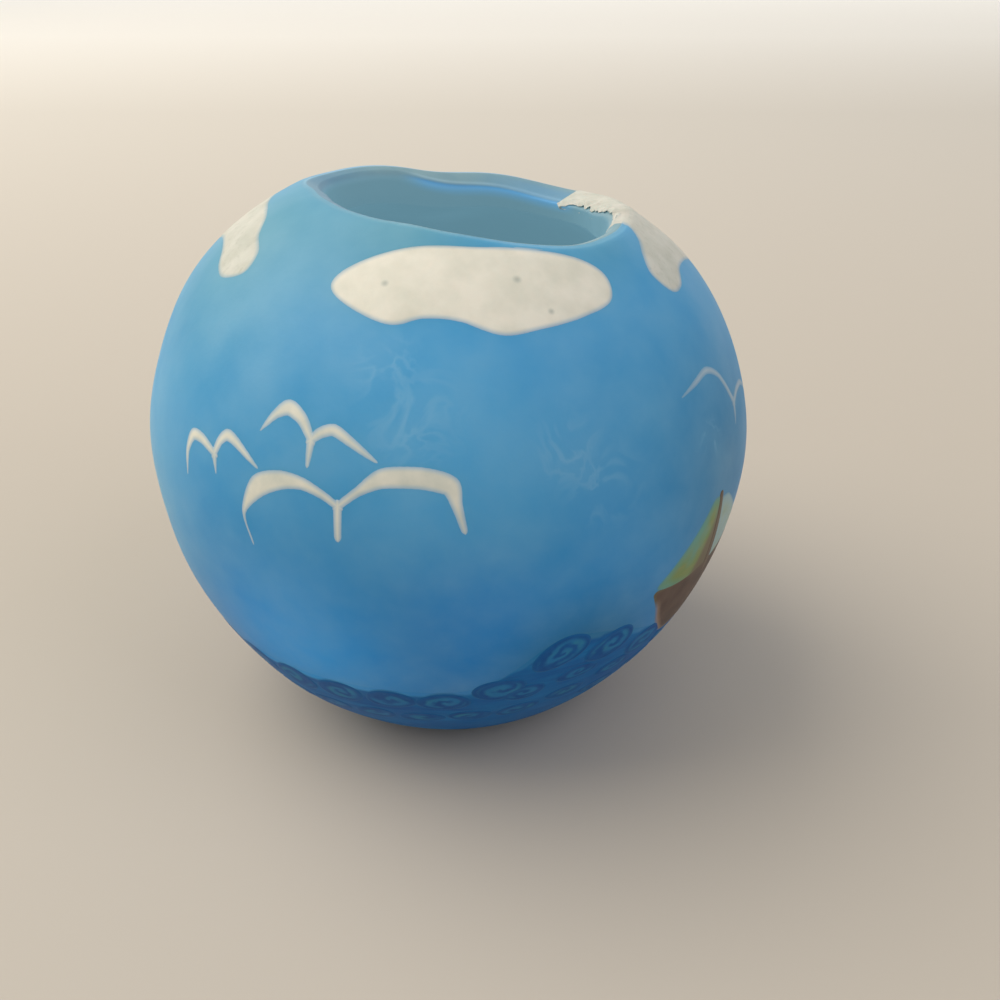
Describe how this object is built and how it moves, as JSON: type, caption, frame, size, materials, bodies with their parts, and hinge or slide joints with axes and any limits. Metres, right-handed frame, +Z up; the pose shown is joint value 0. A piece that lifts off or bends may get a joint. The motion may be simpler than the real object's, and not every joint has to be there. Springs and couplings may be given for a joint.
{
  "type": "globe lantern candle",
  "caption": "Hollow wax globe candle with an inlaid sky, cloud, gull, sailing boat and wave picture, and a tea light that lifts out of its leaning mouth.",
  "frame": {"origin": "middle of the flat foot, on the surface that the candle stands on", "axes": "+Z up, -Y towards the front cloud and the pictured side, +X to the right seen from the front"},
  "size_m": [0.1102, 0.11, 0.0991],
  "materials": {
    "core_wax": "pale blue candle wax, cast, satin",
    "sky_wax": "sky blue candle wax skin, hand rubbed, satin, slightly marbled",
    "sea_wax": "deep blue candle wax skin, hand rubbed, satin",
    "wave_wax": "slices of a rolled cane of deep and mid blue candle wax, satin",
    "ivory_wax": "undyed ivory candle wax inlay, satin",
    "hull_wax": "brown candle wax inlay, satin",
    "mast_wax": "light brown candle wax inlay, satin",
    "green_sail_wax": "streaked green and yellow candle wax inlay, satin",
    "pale_sail_wax": "pale green candle wax inlay, satin",
    "cup_aluminium": "pressed aluminium foil, bright",
    "paraffin": "white paraffin wax, poured, smooth",
    "tinned_steel": "tinned steel wick plate",
    "cotton_wick": "braided cotton wick, waxed"
  },
  "bodies": {
    "globe": {"core_shell": "core_wax", "sky_skin": "sky_wax", "sea_skin": "sea_wax", "cloud_front": "ivory_wax", "cloud_left": "ivory_wax", "cloud_right": "ivory_wax", "cloud_back": "ivory_wax", "gull_large": "ivory_wax", "gull_upper": "ivory_wax", "gull_left": "ivory_wax", "gull_right": "ivory_wax", "gull_back_high": "ivory_wax", "gull_back_low": "ivory_wax", "boat_hull": "hull_wax", "boat_mast": "mast_wax", "boat_foresail": "green_sail_wax", "boat_mainsail": "pale_sail_wax", "wave_slice_01": "wave_wax", "wave_slice_02": "wave_wax", "wave_slice_03": "wave_wax", "wave_slice_04": "wave_wax", "wave_slice_05": "wave_wax", "wave_slice_06": "wave_wax", "wave_slice_07": "wave_wax", "wave_slice_08": "wave_wax", "wave_slice_09": "wave_wax", "wave_slice_10": "wave_wax", "wave_slice_11": "wave_wax", "wave_slice_12": "wave_wax", "wave_slice_13": "wave_wax", "wave_slice_14": "wave_wax", "wave_slice_15": "wave_wax", "wave_slice_16": "wave_wax", "wave_slice_17": "wave_wax", "wave_slice_18": "wave_wax", "wave_slice_19": "wave_wax", "wave_slice_20": "wave_wax", "wave_slice_21": "wave_wax", "wave_slice_22": "wave_wax", "wave_slice_23": "wave_wax", "wave_slice_24": "wave_wax", "wave_slice_25": "wave_wax", "wave_slice_26": "wave_wax", "wave_slice_27": "wave_wax", "wave_slice_28": "wave_wax", "wave_slice_29": "wave_wax", "wave_slice_30": "wave_wax", "wave_slice_31": "wave_wax", "wave_slice_32": "wave_wax", "wave_slice_33": "wave_wax"},
    "tealight": {"tealight_cup": "cup_aluminium", "tealight_wax": "paraffin", "wick_plate": "tinned_steel", "wick": "cotton_wick"}
  },
  "joints": [
    {"name": "tealight_lift", "type": "slide", "parent": "globe", "child": "tealight", "axis": [0, 0, 1], "range_m": [0, 0.11]}
  ]
}
